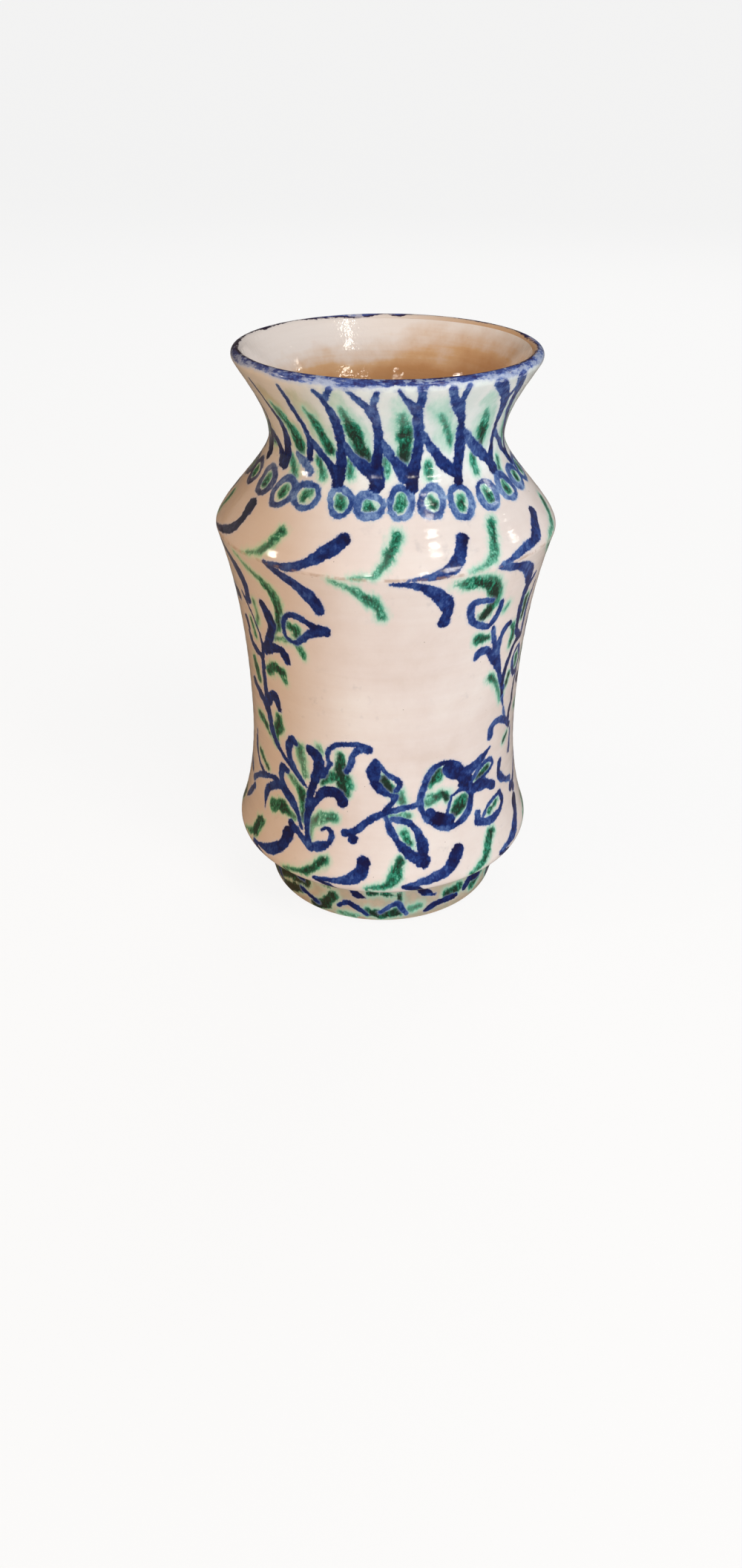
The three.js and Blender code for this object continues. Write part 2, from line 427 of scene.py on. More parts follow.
def neck_petals():
    """Long strokes down the flare, strokes that cross to the next one's tip, and green between them."""
    brush = Brush()
    fullness = 1.16  # of the long strokes, over the widths given here
    longs = [
        ([(-73, 257), (-69, 246), (-70, 238), (-71, 228)], (1.6, 2, 3, 3.6)),
        ([(-60, 263), (-57, 253), (-53, 246), (-52, 239), (-53, 229)], (1.4, 1.8, 2.2, 3, 4)),
        (
            [(-41, 264.5), (-40, 260), (-39, 253), (-37, 247), (-36, 241), (-37, 234)],
            (1.4, 1.8, 2, 2.2, 2, 2),
        ),
        (
            [(-25.5, 265), (-23.5, 262), (-21, 255), (-20, 247), (-20, 239), (-21, 226.5)],
            (1.8, 2.2, 2.6, 3, 3.4, 4),
        ),
        (
            [(-13.5, 267), (-11, 264), (-6.5, 258.5), (-4, 252), (-3, 244), (-4, 235), (-4, 226.5)],
            (1.4, 1.9, 2.4, 2.8, 3.2, 3.6, 4),
        ),
        (
            [(4, 267), (6, 264), (10, 259), (12.5, 252), (14, 243), (13, 234), (11, 226)],
            (1.6, 2, 2.6, 3, 3.2, 3.2, 4),
        ),
        (
            [(22.5, 267), (25, 261), (30, 254), (33.5, 245), (35, 236), (33, 226)],
            (2.8, 2.8, 3, 3.2, 3.4, 3.8),
        ),
        (
            [(42, 267), (51, 258), (55, 252), (57, 242), (58, 235), (55.5, 227)],
            (4.4, 4.2, 2.8, 2.4, 2.6, 3.2),
        ),
        ([(54, 267), (59, 260), (62, 252), (70, 243), (77, 234), (77, 226)], (4.8, 4, 2.6, 2, 2.4, 3.4)),
    ]
    arms = [
        ([(-19.5, 266.5), (-22, 262)], 2.2),
        ([(-3.5, 266), (-4.5, 260), (-4, 254)], 2.2),
        ([(12, 268), (12, 262), (12, 256)], 2.8),
        ([(28.5, 267), (28, 262), (29, 257)], 2.2),
        ([(57, 264), (54, 258), (54, 254)], 2.4),
    ]
    crosses = [
        ([(-71, 240), (-61, 235), (-55, 229)], 2.8),
        ([(-37, 245), (-33, 239), (-26, 232.5), (-21, 228)], 2.6),
        ([(-19, 243), (-15, 237), (-9, 232.5), (-4, 228)], 3.2),
        ([(-2, 244), (2, 238), (7, 232), (11, 227.5)], 3.2),
        ([(14, 248), (20, 241), (26, 234), (33, 228.5)], 3),
        ([(35, 246), (44, 238), (53, 231.5), (57, 227)], 3.2),
        ([(59, 241), (70, 233), (78, 225)], 2.6),
    ]
    smears = [
        ([(-80, 246), (-72, 240), (-66, 235)], (2, 4, 3), 0.6),
        ([(-53, 254), (-47, 247), (-43, 238)], (2.4, 4.6, 4.6), 0.75),
        ([(-33, 256), (-30, 249), (-25.5, 239)], (2, 4, 3.8), 0.75),
        ([(-17, 258), (-14, 249), (-10, 237)], (2.4, 5.2, 5.2), 1),
        ([(5.5, 256), (8, 247), (8, 237.5)], (3, 5.4, 4.6), 0.95),
        ([(21, 255), (26, 248), (29, 241.5)], (2, 3.2, 2.2), 0.35),
        ([(43, 254), (46, 247), (48, 238.5)], (2.6, 4.6, 3.4), 0.8),
        ([(63, 250), (70, 241), (72, 235)], (2.4, 4, 3), 0.4),
    ]
    hidden = np.linspace(77, 291, 13)
    for before, tip in zip(hidden, hidden[1:]):
        lean = dice.uniform(-4, 9)
        if tip < 287:
            path = [(tip - lean, 267.5), (tip + 2 - lean / 2, 254), (tip + 2, 243), (tip, 229)]
            longs.append((path, (2.4, 2.8, 3.2, 4)))
        crosses.append(([(before + 2, 243), ((before + tip) / 2, 235), (tip - 1, 230)], 3))
        middle = before + 8.6 - lean / 4
        smears.append(([(before + 7 - lean / 2, 256), (middle, 248), (before + 10, 239)], (2.4, 5, 4.6), 0.9))
    for path, widths in longs:
        brush.blue(path, *np.multiply(fullness, widths), load=(0.3, 0.45, 0.6, 1.0))
    for path, width in arms:
        brush.blue(path, 1.1 * width, load=(0.4,))
    for path, width in crosses:
        brush.blue(path, *np.multiply(width, (0.8, 1.2, 1.4)), load=(0.25, 0.85))
    brush.blue([(-45, 234), (-39, 231), (-36, 228.5)], 2.6, 3, load=(0.1, 0.25))
    for path, widths, load in smears:
        (top, high), middle, foot = path
        brush.tint([(top + 0.3 * (top - foot[0]), high + 5), middle, foot], 9, 14, 11)
        brush.green(path, *widths, load=(0.1, 0.6 * load, load))
    drops = [
        [(-49, 232), (-44, 226)],
        [(-32, 234), (-29, 228)],
        [(-16, 235), (-16, 230)],
        [(0, 236), (0, 231)],
        [(19, 233), (20, 229)],
        [(44, 234), (44, 228)],
        [(63, 229), (60, 224)],
    ]
    for turn in hidden[1:-1] - 9:
        drops.append([(turn - 1, 233), (turn + 1.5, 231)])
    for path in drops:
        brush.green(path, 3, 2.8, load=(0.4, 0.35))


def ridge_commas():
    """Commas spring up and down from the ridge, blue and green in turn."""
    brush = Brush()
    blue_up = [
        [(-80, 195), (-68, 198), (-61, 203), (-60, 211)],
        [(-40, 195), (-30, 196), (-21, 202), (-14, 208)],
        [(7, 194.8), (17, 196), (23, 200), (27, 207)],
        [(38, 195), (51, 198), (59, 200), (66, 207)],
    ]
    green_up = [
        [(-88, 196), (-86, 200), (-84, 207)],
        [(-52, 195), (-43, 199), (-38, 207)],
        [(-11, 195), (-3, 197), (1, 203), (4, 210)],
        [(27, 195), (36, 199), (41, 210)],
        [(66, 195), (77, 199), (83, 206)],
    ]
    blue_down = [
        [(-80, 194), (-69, 189), (-62, 184), (-58, 177), (-58, 169)],
        [(-41, 195), (-34, 190.5), (-28.5, 187), (-24, 182), (-22, 177)],
        [(2, 193), (9, 192), (15, 188), (20, 182), (21, 177), (20, 172)],
        [(38, 194), (45, 192), (52, 189), (57, 184), (59, 178), (59, 174)],
    ]
    green_down = [
        [(-58, 192), (-49, 186), (-42, 182), (-39, 177), (-39, 169), (-42, 162)],
        [(-17, 193), (-11, 190), (-6, 186), (-2, 181), (-1, 177)],
        [(22, 192), (30, 191), (37, 188), (41, 182), (41, 176)],
        [(66, 193), (73, 189), (79, 183), (80, 176)],
    ]
    for spring in (84, 124, 164, 204, 241):
        spring += dice.uniform(-2, 2)
        blue_up.append([(spring, 195), (spring + 11, 196.5), (spring + 19, 202), (spring + 24, 209)])
        blue_down.append([(spring, 194), (spring + 9, 191), (spring + 16, 184), (spring + 18, 174)])
    for spring in (104, 144, 184, 222):
        spring += dice.uniform(-2, 2)
        green_up.append([(spring, 195), (spring + 8, 198), (spring + 14, 208)])
        green_down.append([(spring, 193), (spring + 9, 189), (spring + 15, 181), (spring + 15, 172)])
    for path in blue_up:
        brush.blue(path, 1.2, 3.4, 4.7, 5.1, head=2.9, load=(0.35, 0.6, 0.85))
    for path in blue_down:
        brush.blue(path, 1.6, 4.4, 5.4, 4.4, load=(0.4, 0.75))
    for path in green_up:
        brush.green(path, 0.9, 3.2, 3.8, load=(0.05, 0.25, 0.5))
        brush.tint(path, 2, 6, 8)
    for path in green_down:
        brush.green(path, 1.2, 3.8, 3.4, load=(0.1, 0.35, 0.35))
        brush.tint(path, 3, 7, 6)


def keel_commas():
    """Commas spring up from the keel, and a stroke under each runs down into the undercut."""
    brush = Brush()
    blue_up = [
        [(-60, 36), (-50, 38), (-43, 44), (-40.5, 52)],
        [(-26, 35), (-14, 37), (-8, 42), (-7, 47)],
        [(8, 35.5), (20, 37.5), (27, 41), (31, 48.5)],
        [(52, 36), (63, 38), (70, 45), (72, 52)],
    ]
    green_up = [
        [(-69, 36), (-61, 40), (-58, 48)],
        [(-40, 34), (-30, 37), (-23, 45)],
        [(-6, 34), (3, 37), (7, 48)],
        [(36, 33), (43, 38), (49, 49)],
    ]
    for spring in (92, 130, 168, 206, 244, 278):
        spring += dice.uniform(-2, 2)
        green_up.append([(spring - 18, 34), (spring - 9, 38), (spring - 4, 47)])
        if spring < 270:
            blue_up.append([(spring, 35), (spring + 11, 37), (spring + 17, 42), (spring + 19, 49)])
    for path in blue_up:
        brush.blue(path, 1.5, 4.2, 5.4, 5.2, head=3.3, load=(0.4, 0.65, 0.9))
        start = path[0][0]
        under = [(start, 35), (start + 6, 31.5), (start + 10, 24), (start + 13, 17.5), (start + 18, 15.2)]
        brush.blue(under, 2, 3.8, 4.4, 3.6, 1, load=(0.8, 1.1))
    for path in green_up:
        brush.green(path, 1.4, 3.8, 4.2, load=(0.3, 0.75))
        brush.tint(path, 3, 7, 8)
        start = path[0][0]
        under = [(start, 33.5), (start + 3, 28), (start + 5, 20), (start + 13, 17)]
        brush.green(under, 1.6, 2, 1.6, 1.4, load=(0.6, 1.0))


def left_vine(brush):
    """A climbing stem with a bud, leaves and a hook."""
    blue, green = brush.blue, brush.green
    # Stem, with the line beside it
    stem = [(-34, 81), (-43, 89), (-50, 96), (-53, 101), (-55, 111), (-56, 123), (-56, 131), (-55, 137)]
    blue([*stem, (-56, 141)], 2.2, 3, 3.4, 3.2, 3, load=(0.6, 0.8))
    blue([(-56, 141), (-62, 143), (-65, 149)], 3, 3.6, 2.4, load=(0.8,))
    blue([(-63, 170), (-59, 164), (-56, 157), (-54, 150), (-54.5, 141)], 1.6, 1.8, 2, load=(0.8,))
    blue([(-59, 178), (-58, 171)], 4, 3, load=(0.9,))
    blue([(-65, 156), (-64, 151)], 3, load=(0.9,))
    blue([(-67, 121), (-62, 118), (-58, 115), (-56, 111)], 4, 4, 3, load=(0.8,))
    blue([(-55.5, 114), (-52, 121), (-49, 122.5), (-47, 117)], 3, 4, 4, head=1.8, load=(0.8,))
    blue([(-70, 92), (-70, 82)], 1.6)
    # Upper stem, the bud and the hook under it
    stem = [(-52, 145), (-48, 153), (-46, 158), (-45, 163), (-46.5, 168), (-48, 171)]
    blue(stem, 3, 4.4, 5, 4.4, head=2.3, load=(0.8, 0.9))
    bud = [(-24, 167), (-27, 169), (-31, 171), (-35, 170.5), (-38, 166)]
    bud += [(-38, 159.5), (-34.5, 157), (-31, 159), (-27, 163.5), (-23, 166)]
    blue(bud, 4, 3.2, 2.6, 2, 2.2, 2.8, 3.2, 4, load=(0.8, 0.55, 0.4, 0.7))
    blue([(-24.5, 167.3), (-20.5, 166.5)], 4.4, 4.6, load=(0.8,))
    hook = [(-51, 147), (-46, 149.5), (-42, 150), (-40, 148), (-39, 145.5)]
    blue(hook, 4.4, 4, 3.8, head=1.9, load=(0.85,))
    # Leaves
    green([(-35, 165), (-32.5, 163), (-33, 160)], 4, 4.4, 3.6, load=(0.45, 0.5))
    leaf = [(-45, 184), (-41, 178), (-40, 171), (-41, 163), (-44, 158)]
    green(leaf, 3, 3.6, 3.8, 3.4, 2.4, load=(0.5, 0.7, 0.7, 0.3))
    green([(-45, 155), (-38, 157), (-34, 156.5), (-30.5, 151.5)], 3, 2.6, 3, 2.4, load=(0.1, 0.3, 0.5))
    green([(-51.5, 135), (-47.5, 139), (-43.5, 138), (-41.5, 134)], 3.6, 4.4, 4.2, 3, load=(0.6, 0.7, 0.5))
    green([(-64, 135), (-62, 129), (-60, 125)], 3.4, 4, 2.4, load=(0.8,))
    green([(-53.5, 170), (-53, 163), (-56, 156)], 2.4, 2.4, 1.8, load=(0.2, 0.3))
    green([(-60, 158), (-58, 150)], 2, load=(0.5,))
    green([(-65, 105), (-59, 103), (-56, 99)], 3, 4, 2.4, load=(0.4, 0.6))
    green([(-48, 112), (-48, 107), (-51, 101), (-51, 96)], 4, 4.6, 4, 3, load=(0.7, 0.8))


def left_spray(brush):
    """A spray that grows from a scroll, with side stems and a flower."""
    blue, green = brush.blue, brush.green
    # Stem, and the scroll and bud at its foot
    stem = [(-29, 49), (-31.5, 56), (-32, 63), (-31.5, 71), (-30.5, 80), (-28.5, 87), (-27, 94), (-28, 99)]
    blue([*stem, (-31, 101)], 3, 2.4, 2.8, 3.2, 4.2, 5.4, 5.2, 4, head=2.2, load=(0.6, 0.7, 0.9))
    scroll = [(-29, 49.5), (-25.5, 51), (-21.5, 54), (-20.5, 59), (-22.5, 61.5), (-25, 60)]
    blue(scroll, 4.2, 3.8, 2.8, 2.2, 2)
    blue([(-29, 49.5), (-32.5, 52), (-36.5, 55), (-40, 57)], 3.6, 3.2, 3, head=2.3)
    # Side stems
    side = [(-33, 80), (-38.5, 87), (-42, 92), (-42.5, 98), (-40.5, 103), (-38.5, 102)]
    blue(side, 1.4, 2.6, 3.6, 3.4, head=2)
    side = [(-34, 57), (-38, 66), (-42, 71), (-47.5, 74), (-55, 69), (-57.5, 63), (-57, 56)]
    blue(side, 2, 3.4, 4.8, 3.6, 3, 1.4)
    blue([(-45.5, 75), (-47.5, 80), (-46.5, 85), (-44, 84.5)], 3.6, 3.2, 3.6)
    side = [(-31.5, 63), (-30, 70), (-26.5, 78), (-23, 81), (-19, 81), (-16.5, 77)]
    blue(side, 1.8, 3, 4.8, 5.4, head=3, load=(0.6, 0.9, 1.0))
    blue([(-72.5, 63), (-63.5, 71), (-55, 75), (-50, 76)], 2.6, 2.6, 2.4)
    blue([(-71, 88), (-70, 82), (-66, 76), (-61, 74)], 2.6, 2.4, 2)
    blue([(-70, 60), (-74, 54), (-79, 48)], 3.4, 3, 2)
    # Flower
    loop = [(-21.5, 96), (-23, 100), (-22, 104.5), (-19, 107.5), (-13.5, 109), (-9.5, 109), (-6, 107)]
    blue(loop, 2.2, 2, 2.2, 2.6, 4, head=2.1)
    blue([(-9.5, 107), (-12, 103), (-13, 98), (-14.5, 94)], 3.2, 2.5, 2.5)
    blue([(-21.5, 97), (-23.5, 93), (-25.5, 89)], 2, 2.6, 3.2)
    green([(-17, 102), (-17, 95), (-17, 88), (-16, 82)], 3.4, 4.4, 4.8, 4, load=(0.9, 1.25, 1.2, 0.9))
    green([(-25.5, 85), (-22, 89.5), (-18.5, 90)], 3, 4, 4, load=(0.5, 0.6))
    green([(-15, 91), (-14, 86)], 3.4, 3, load=(0.5,))
    # Leaves
    green([(-36.5, 101), (-35.5, 94), (-34, 86)], 3.8, 4, 2.4, load=(0.4, 0.12, 0.2))
    green([(-43, 83), (-39, 80), (-35, 75), (-34, 62)], 2.6, 3.4, 4, 2.4, load=(0.12, 0.25, 0.6, 0.7))
    green([(-51.5, 61), (-45.5, 63.5), (-38.5, 61)], 4.8, 5.6, 2.6, load=(0.6, 0.7, 0.2))
    green([(-29.5, 54), (-30, 60), (-26.5, 65.5), (-20, 68)], 2.4, 3.8, 4.6, 4.6, load=(0.1, 0.12, 0.35))
    green([(-27, 104), (-26, 102)], 3, load=(0.05,))
    green([(-60, 47), (-61, 40)], 4, 4.6, load=(0.9,))
    green([(-50.5, 103), (-50.5, 98)], 3.4, load=(0.8,))
    green([(-66, 84), (-57, 78)], 2.6, load=(0.8,))


def pomegranate(brush):
    """A fruit with its crown, on a leafy stem."""
    blue, green, tint, dot = brush.blue, brush.green, brush.tint, brush.dot
    # Fruit
    ring = [(17, 86), (15.5, 79), (16.5, 72), (20, 65.5), (26, 61.5), (31.5, 61.5), (37, 65.5), (39, 72)]
    ring += [(38.5, 81), (33.5, 91), (28, 96), (22.5, 96), (19, 92), (17, 86)]
    blue(ring, 3.2, 2.9, 2.7, 2.9, 3.1, 3.6, 2.7, 2.9, load=(0.5, 0.45, 0.6, 0.75, 0.5))
    blue([(26.5, 94), (31, 90), (36, 85), (37.5, 79)], 4, 6.6, 6.2, 4.2, load=(0.7, 0.95))
    blue([(19.5, 71), (23, 66.5), (28, 64.5)], 3.8, 6.2, 5, load=(0.7, 1.1, 0.7))
    blue([(29, 77), (33, 79), (38, 80)], 1.5, 2.2, 3.6)
    blue([(29.5, 77), (28, 72), (27, 69)], 1.3, 1.3, 1.6)
    dot(33, 82, 1.1)
    tint([(19, 78), (28, 80)], 9, 8)
    green([(19.5, 87), (22, 91), (26, 93)], 4.6, 5.6, 4, load=(0.45, 0.7))
    green([(19.5, 77.5), (24, 79.5)], 6, 4.6, load=(0.2, 0.4))
    green([(25.3, 80.3), (27, 77)], 3.4, 3, load=(1.0,))
    green([(34.5, 72), (31.5, 68.5)], 6, 5.6, load=(0.65, 0.8))
    # Crown, with a leaf between its two points
    blue([(37, 88), (43.5, 90.5), (50.5, 95)], 6, 4.6, 1)
    blue([(39, 77), (47, 76.5), (53, 72.5)], 4.6, 4.6, 3.6, load=(0.6, 0.8))
    leaf = [(38.5, 80), (43.5, 86), (49.5, 88.5), (53, 85.5), (50, 82), (44, 80), (40, 79)]
    blue(leaf, 2.4, 2, 2.2, 1.8, 2.2)
    tint([(44, 82), (49, 85)], 5)
    green([(43.5, 82), (49, 84.5)], 3.2, 2.8, load=(0.9,))
    # Stem, with its two-lobed end
    blue([(14, 76.3), (6.5, 75), (0.5, 73), (-4, 70), (-8, 66), (-12.5, 61)], 2.6, 2.4, 3, 3.8, 3, 3.2)
    blue([(5.5, 82), (3.5, 78), (0.5, 73)], 2.4, 2.8, 3)
    dot(-15, 61, 1.9)
    dot(-11.5, 58.3, 1.9)
    # Leaves above and below the stem
    blue([(-3, 101), (-3.8, 95), (-3, 89), (0, 84.5), (4.5, 82)], 3, 5, 4.4, 3, 2.4, load=(0.7, 0.8, 0.6))
    blue([(-2, 100), (1.5, 94.5), (5, 91.5), (7, 88.5), (5.5, 85)], 2.2, 2.3, 2.5, 2.2)
    tint([(0, 91), (4, 85)], 6)
    green([(0.3, 91), (3, 86)], 4.4, 3.6, load=(0.95,))
    blue([(1.5, 70.5), (3, 65), (6, 58), (10, 52), (15, 46.5)], 2, 2.9, 3.3, 4, 5.2)
    blue([(4, 70), (10.5, 67.5), (14, 62), (16, 55), (16, 48.5)], 2.1, 3.2, 3.5, 4.2, 4.6)
    dot(15.6, 46.8, 3.1)
    tint([(7.5, 64), (12, 55)], 8, 7)
    green([(8.5, 62), (11, 56.5)], 3.2, 2.8, load=(0.4, 0.6))
    green([(6.5, 83), (8, 78.5)], 4, 3.6, load=(0.25,))
    green([(3.5, 71.3), (11, 71)], 2.8, load=(0.2,))
    # Leaf to the right, and the hook beyond it
    blue([(43, 57.5), (49, 55), (56, 56), (59.5, 60), (58, 66)], 4, 3.4, 3, 2.6)
    blue([(46, 60), (50, 64), (57, 66)], 2, 1.8, 2)
    blue([(42.5, 62.5), (42, 58)], 3.8, 4)
    tint([(48, 59), (56, 63)], 5)
    green([(49, 60), (55, 62.5)], 2.8, load=(0.7,))
    blue([(70, 66), (63, 70), (58, 76), (59, 82)], 2.6, 3.4, 3.4, head=2.2)


def right_vine(brush):
    """A stem under a hanging flower, with thin side stems."""
    blue, green = brush.blue, brush.green
    # Flower hanging from the ridge, and the stem under it
    cup = [(39, 177.5), (34, 179), (30.5, 178.5), (30, 174), (32, 169), (36.5, 165.5), (40, 164.5), (43, 169)]
    blue([*cup, (44, 175)], 2.4, 2.6, 3, 3.2, 3, 2.8, 2.4, load=(0.5, 0.45, 0.6))
    leaf = [(22, 190), (27, 190), (33, 188.5), (38, 184.5), (40, 178.5)]
    green(leaf, 2, 4.2, 5, 5, 3.4, load=(0.1, 0.5, 1.0, 1.0))
    green([(39, 176), (36.5, 171)], 3.4, 4.4, load=(0.9, 1.2))
    blue([(42, 163), (44, 156), (47, 147), (50, 139), (53, 131), (56, 124)], 2, 2.8, 3.6, 3.4, 2.8, 2.6)
    green([(36, 159), (41, 158)], 4, 3.4, load=(0.6, 0.4))
    # Side stems
    blue([(47, 148), (48, 155), (50, 159), (52.5, 160.5)], 3.4, 3, 3, head=2)
    blue([(36, 149.5), (38, 152), (42, 150.5), (46, 144.5), (50, 138)], 3, 3.6, 3.4, 3, head=0.5)
    blue([(66, 148), (61, 146.5), (58, 141), (56, 135), (55, 128), (56, 121)], 3, 2.8, 2.6, load=(0.9, 1.0))
    blue([(64, 180), (59, 174), (58, 168), (59, 160), (60, 153), (65, 148)], 2.6, 3, 3.6, 3, load=(0.7, 0.8))
    blue([(68, 174), (66, 166), (66, 158), (67, 150)], 2, 2.6, 2.2, load=(0.7,))
    green([(62, 169), (62.5, 159)], 3.6, 3, load=(0.9,))
    green([(54, 159), (57, 154), (56, 147)], 2.6, 3.2, 2.6, load=(0.4, 0.7))
    green([(47, 170), (49, 173)], 2, load=(0.2,))
    leaf = [(65, 142), (62, 139), (62.5, 133), (65.5, 128), (69, 129), (70.5, 135), (67, 142)]
    blue(leaf, 2, 2.6, 2.6, 2, load=(0.6,))
    green([(66, 137), (66, 132)], 3, load=(0.6,))
    # Lower stems, and the comma at their foot
    green([(46, 135), (49.5, 131), (53, 124), (55, 118)], 4.4, 3.4, 2, 1.4, load=(0.4, 0.2))
    green([(60, 130), (58, 125), (56, 119)], 2.6, 2.8, 2, load=(0.9, 1.1))
    blue([(56, 121), (59, 112), (62, 105)], 2, 1.6, 1.8, load=(0.4,))
    blue([(70, 127), (68, 119), (68, 112), (66, 106), (66, 102)], 2.4, 2.8, 2.8, 3, load=(0.9,))
    blue([(50, 101.5), (50.5, 106), (55, 107.5), (62, 104), (68, 97.5)], 3.6, 3.6, 3.2, 3, 2.4, head=1.8)
    green([(66, 95), (62, 92)], 3.2, 2.8, load=(1.0,))
    blue([(70, 95), (70, 87), (68, 82)], 1.8, 2, 1.6)
    ring = [(78 + 4 * math.cos(a), 150 + 5 * math.sin(a)) for a in np.radians(np.arange(0, 361, 40))]
    blue(ring, 2.4, 2.6)
    green([(77, 150), (79, 150)], 4.4, 4.4)


def foot_strokes():
    """Short blue strokes and green and brown blotches round the foot band."""
    brush = Brush()
    strokes = [
        ([(-43, 10), (-37, 8), (-32.5, 6)], 2.6, 0.7),
        ([(-21, 8.5), (-17, 11.5), (-11.5, 9), (-7, 5.5)], 2.7, 0.75),
        ([(-0.5, 7.5), (4, 11), (8, 12.2), (10, 9), (12, 5.5)], 2.7, 0.45),
        ([(22, 5.5), (25.5, 7.5), (30.5, 8.5), (39, 8)], 3.3, 0.9),
        ([(45, 10), (50, 13), (57.5, 12)], 3.2, 1.0),
    ]
    for turn in np.arange(66, 300, 17):
        low, high = dice.uniform(4, 7), dice.uniform(9, 12.5)
        arch = [(turn, low), (turn + dice.uniform(3, 6), high), (turn + 8, high - 1), (turn + 13, low + 1)]
        strokes.append((arch, dice.uniform(2.4, 3.2), dice.uniform(0.3, 1)))
    for path, full, load in strokes:
        brush.blue(path, full * 0.8, full, full * 0.85, load=(load, load + 0.15, load - 0.1))
    brush.blue([(23, 15.3), (27, 13.8)], 1.6)

    blotches = [
        ([(-7, 18.6), (0.5, 18), (8, 16.5)], 1.5, 1.2),
        ([(8.3, 17), (8.5, 12)], 2.4, 1.4),
        ([(-6, 7), (1, 6), (7, 7)], 5, 1.0),
        ([(-25, 12.5), (-30, 6)], 5, 0.9),
        ([(-34, 4), (-28, 7)], 5.5, 1.3),
        ([(-20, 4), (-12, 3)], 3, 0.15),
        ([(14, 8.5), (19, 9.5)], 4, 0.1),
        ([(34, 11), (42, 12.5)], 4.6, 0.95),
        ([(51, 8.5), (60, 14)], 4.4, 0.7),
        ([(-64, 8), (-52, 14), (-40, 14.5)], 5, 1.1),
        ([(-57, 3), (-44, 9)], 5, 1.2),
        ([(-80, 12), (-68, 5)], 6, 1.2),
    ]
    for turn in np.arange(70, 274, 11):
        height, wide = dice.uniform(3, 12), dice.uniform(3, 8)
        ends = [(turn - wide / 2, height + dice.uniform(-2, 2)), (turn + wide / 2, height)]
        blotches.append((ends, dice.uniform(2, 5), dice.uniform(0.2, 1.1)))
    for path, wide, load in blotches:
        brush.green(path, wide, wide * 0.9, load=(load, load * 0.9))
        brush.tint(path, wide + 5)


def lip_band():
    """Blue laid over the crest in one wavering turn, thinner on its outer side."""
    crest_at = outside.nearest(point(lip_centre[0], HEIGHT))
    lower = -4.6 + 0.6 * np.sin(np.radians(5 * turns)) + 0.5 * np.sin(np.radians(13 * turns + 40))
    upper = 0.8 + 0.3 * np.cos(np.radians(turns)) + 0.3 * np.sin(np.radians(11 * turns))
    smudges = ((-150, 9, 1.6), (-168, 8, 3.0), (176, 4, 1.8), (-120, 5, 1.2), (100, 9, 1.2))
    for turn, reach, deep in smudges:
        upper += deep * np.exp(-(((turns - turn) / reach) ** 2))
    place = (along_rows - crest_at)[:, None]
    band = np.maximum(lower - place, place - upper)
    nearer = band < cobalt.edge
    uneven = 0.14 * np.sin(np.radians(3 * turns + 60)) + 0.12 * np.sin(np.radians(7 * turns))
    pooled = np.clip(place - upper + 1.5, 0, 1)
    thinned = np.clip((-1.6 - place) / 3, 0, 1)
    thick = 0.6 + uneven - 0.16 * np.sin(np.radians(turns)) + 1.2 * pooled - 0.5 * thinned
    cobalt.load = np.where(nearer, thick, cobalt.load)
    cobalt.edge = np.minimum(cobalt.edge, band)


def foot_wear():
    """Distance from the edge of the bare clay: the wiped line and the chips along it."""
    wobble = 0.35 * np.sin(np.radians(9 * turns + 20)) + 0.25 * np.sin(np.radians(23 * turns))
    bare = along_rows[:, None] + 0.9 - wobble
    chips = 46
    for turn, size in zip(dice.uniform(-180, 180, chips), dice.uniform(0.3, 1.3, chips)):
        gap = (turns - turn + 180) % 360 - 180
        reach = np.hypot(np.radians(gap) * FOOT_RADIUS / 1.6, (along_rows - 0.4)[:, None]) - size
        bare = np.minimum(bare, reach)
    return np.clip(bare, -3, 6)


bead_row()
neck_petals()
ridge_commas()
keel_commas()
foot_strokes()
for motif in (left_vine, left_spray, pomegranate, right_vine):
    motif(Brush())
hidden_side = [(left_vine, 140), (right_vine, 91), (left_vine, 227), (right_vine, 178), (left_vine, 312)]
hidden_side += [(pomegranate, 85), (left_spray, 207), (pomegranate, 214)]
for motif, turn in hidden_side:
    motif(Brush(turn, shake=0.35))
lip_band()
bare_clay = foot_wear()


# Materials

def colour(text):
    """A colour written as on a paint card, as the linear values that a shader takes."""
    values = [int(text[k : k + 2], 16) / 255 for k in (0, 2, 4)]
    return (*[v / 12.92 if v <= 0.04045 else ((v + 0.055) / 1.055) ** 2.4 for v in values], 1)


